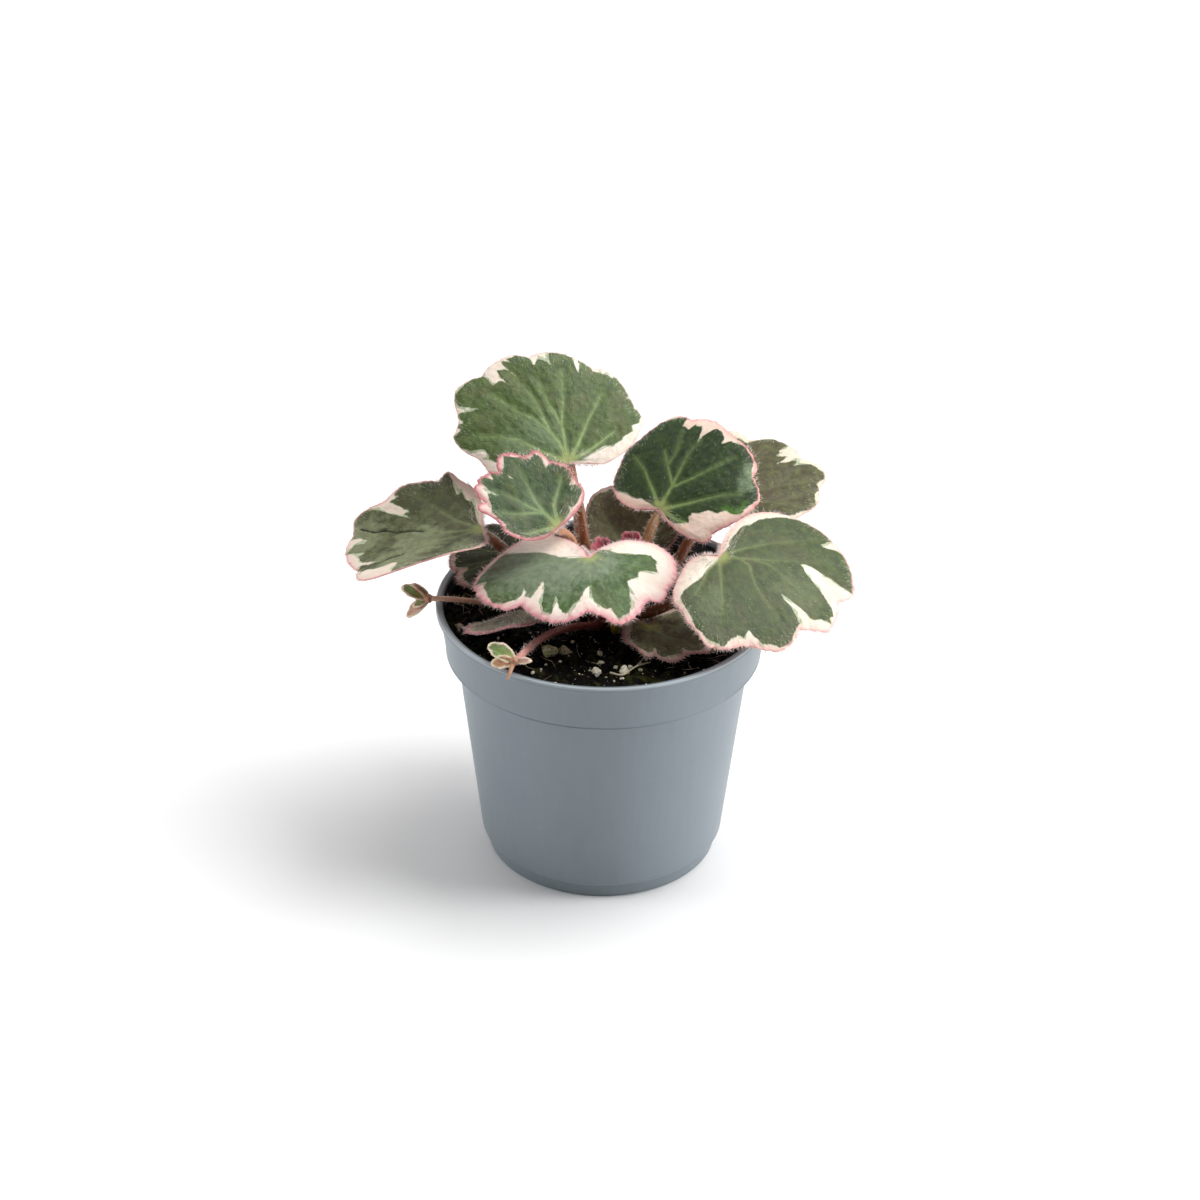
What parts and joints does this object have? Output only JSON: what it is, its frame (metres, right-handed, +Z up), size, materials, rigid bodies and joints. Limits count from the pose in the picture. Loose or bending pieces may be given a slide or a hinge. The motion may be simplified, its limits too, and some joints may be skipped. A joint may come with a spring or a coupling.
{
  "type": "potted variegated strawberry begonia",
  "caption": "Young creeping saxifrage with green, cream and pink scalloped leaves on hairy stalks, with runners and plantlets, in a tapering plastic nursery pot.",
  "frame": {"origin": "centre of the pot's flat base, on the surface that it stands on", "axes": "+Z up along the pot's axis, -Y towards the viewer of the pictured side, +X to that viewer's right"},
  "size_m": [0.128, 0.1054, 0.1231],
  "materials": {
    "pot_plastic": "blue-grey injection-moulded polypropylene, satin, faint mould lines",
    "peat": "damp black peat crumbs with white perlite and pale root fibres",
    "crown_tissue": "dark crimson sheathing stalk bases",
    "leaf_green": "green blade with pale veins, cream wedges at the margin and a pink rim, rosy underside, sparse hairs",
    "leaf_olive": "grey-olive blade with pale veins, cream wedges and a pink rim, rosy underside, sparse hairs",
    "leaf_dusk": "dark olive-brown shaded blade with a dusty pink rim and rosy underside",
    "leaf_stalk": "translucent brown-red round stalk with fine whitish hairs",
    "young_leaf": "crimson folded blade with a pink rim",
    "bud_tissue": "yellow-green shoot bud",
    "runner": "pinkish brown thin runner with fine hairs",
    "plantlet": "green-olive leaflets with cream and pink edges"
  },
  "bodies": {
    "root": {"pot": "pot_plastic", "soil": "peat", "crown": "crown_tissue", "leaf_rear_high_blade": "leaf_green", "leaf_rear_high_petiole": "leaf_stalk", "leaf_mid_small_blade": "leaf_green", "leaf_mid_small_petiole": "leaf_stalk", "leaf_right_high_blade": "leaf_green", "leaf_right_high_petiole": "leaf_stalk", "leaf_front_blade": "leaf_green", "leaf_front_petiole": "leaf_stalk", "leaf_left_blade": "leaf_olive", "leaf_left_petiole": "leaf_stalk", "leaf_right_blade": "leaf_olive", "leaf_right_petiole": "leaf_stalk", "leaf_rear_right_blade": "leaf_olive", "leaf_rear_right_petiole": "leaf_stalk", "leaf_rear_low_blade": "leaf_dusk", "leaf_rear_low_petiole": "leaf_stalk", "leaf_left_low_blade": "leaf_dusk", "leaf_left_low_petiole": "leaf_stalk", "leaf_front_right_low_blade": "leaf_dusk", "leaf_front_right_low_petiole": "leaf_stalk", "leaf_front_left_low_blade": "leaf_dusk", "leaf_front_left_low_petiole": "leaf_stalk", "leaf_rear_behind_blade": "leaf_olive", "leaf_rear_behind_petiole": "leaf_stalk", "leaf_rear_right_low_blade": "leaf_dusk", "leaf_rear_right_low_petiole": "leaf_stalk", "young_leaf_1": "young_leaf", "young_leaf_2": "young_leaf", "bud": "bud_tissue", "stolon_1": "runner", "stolon_2": "runner", "plantlet_1": "plantlet", "plantlet_2": "plantlet"}
  },
  "joints": []
}
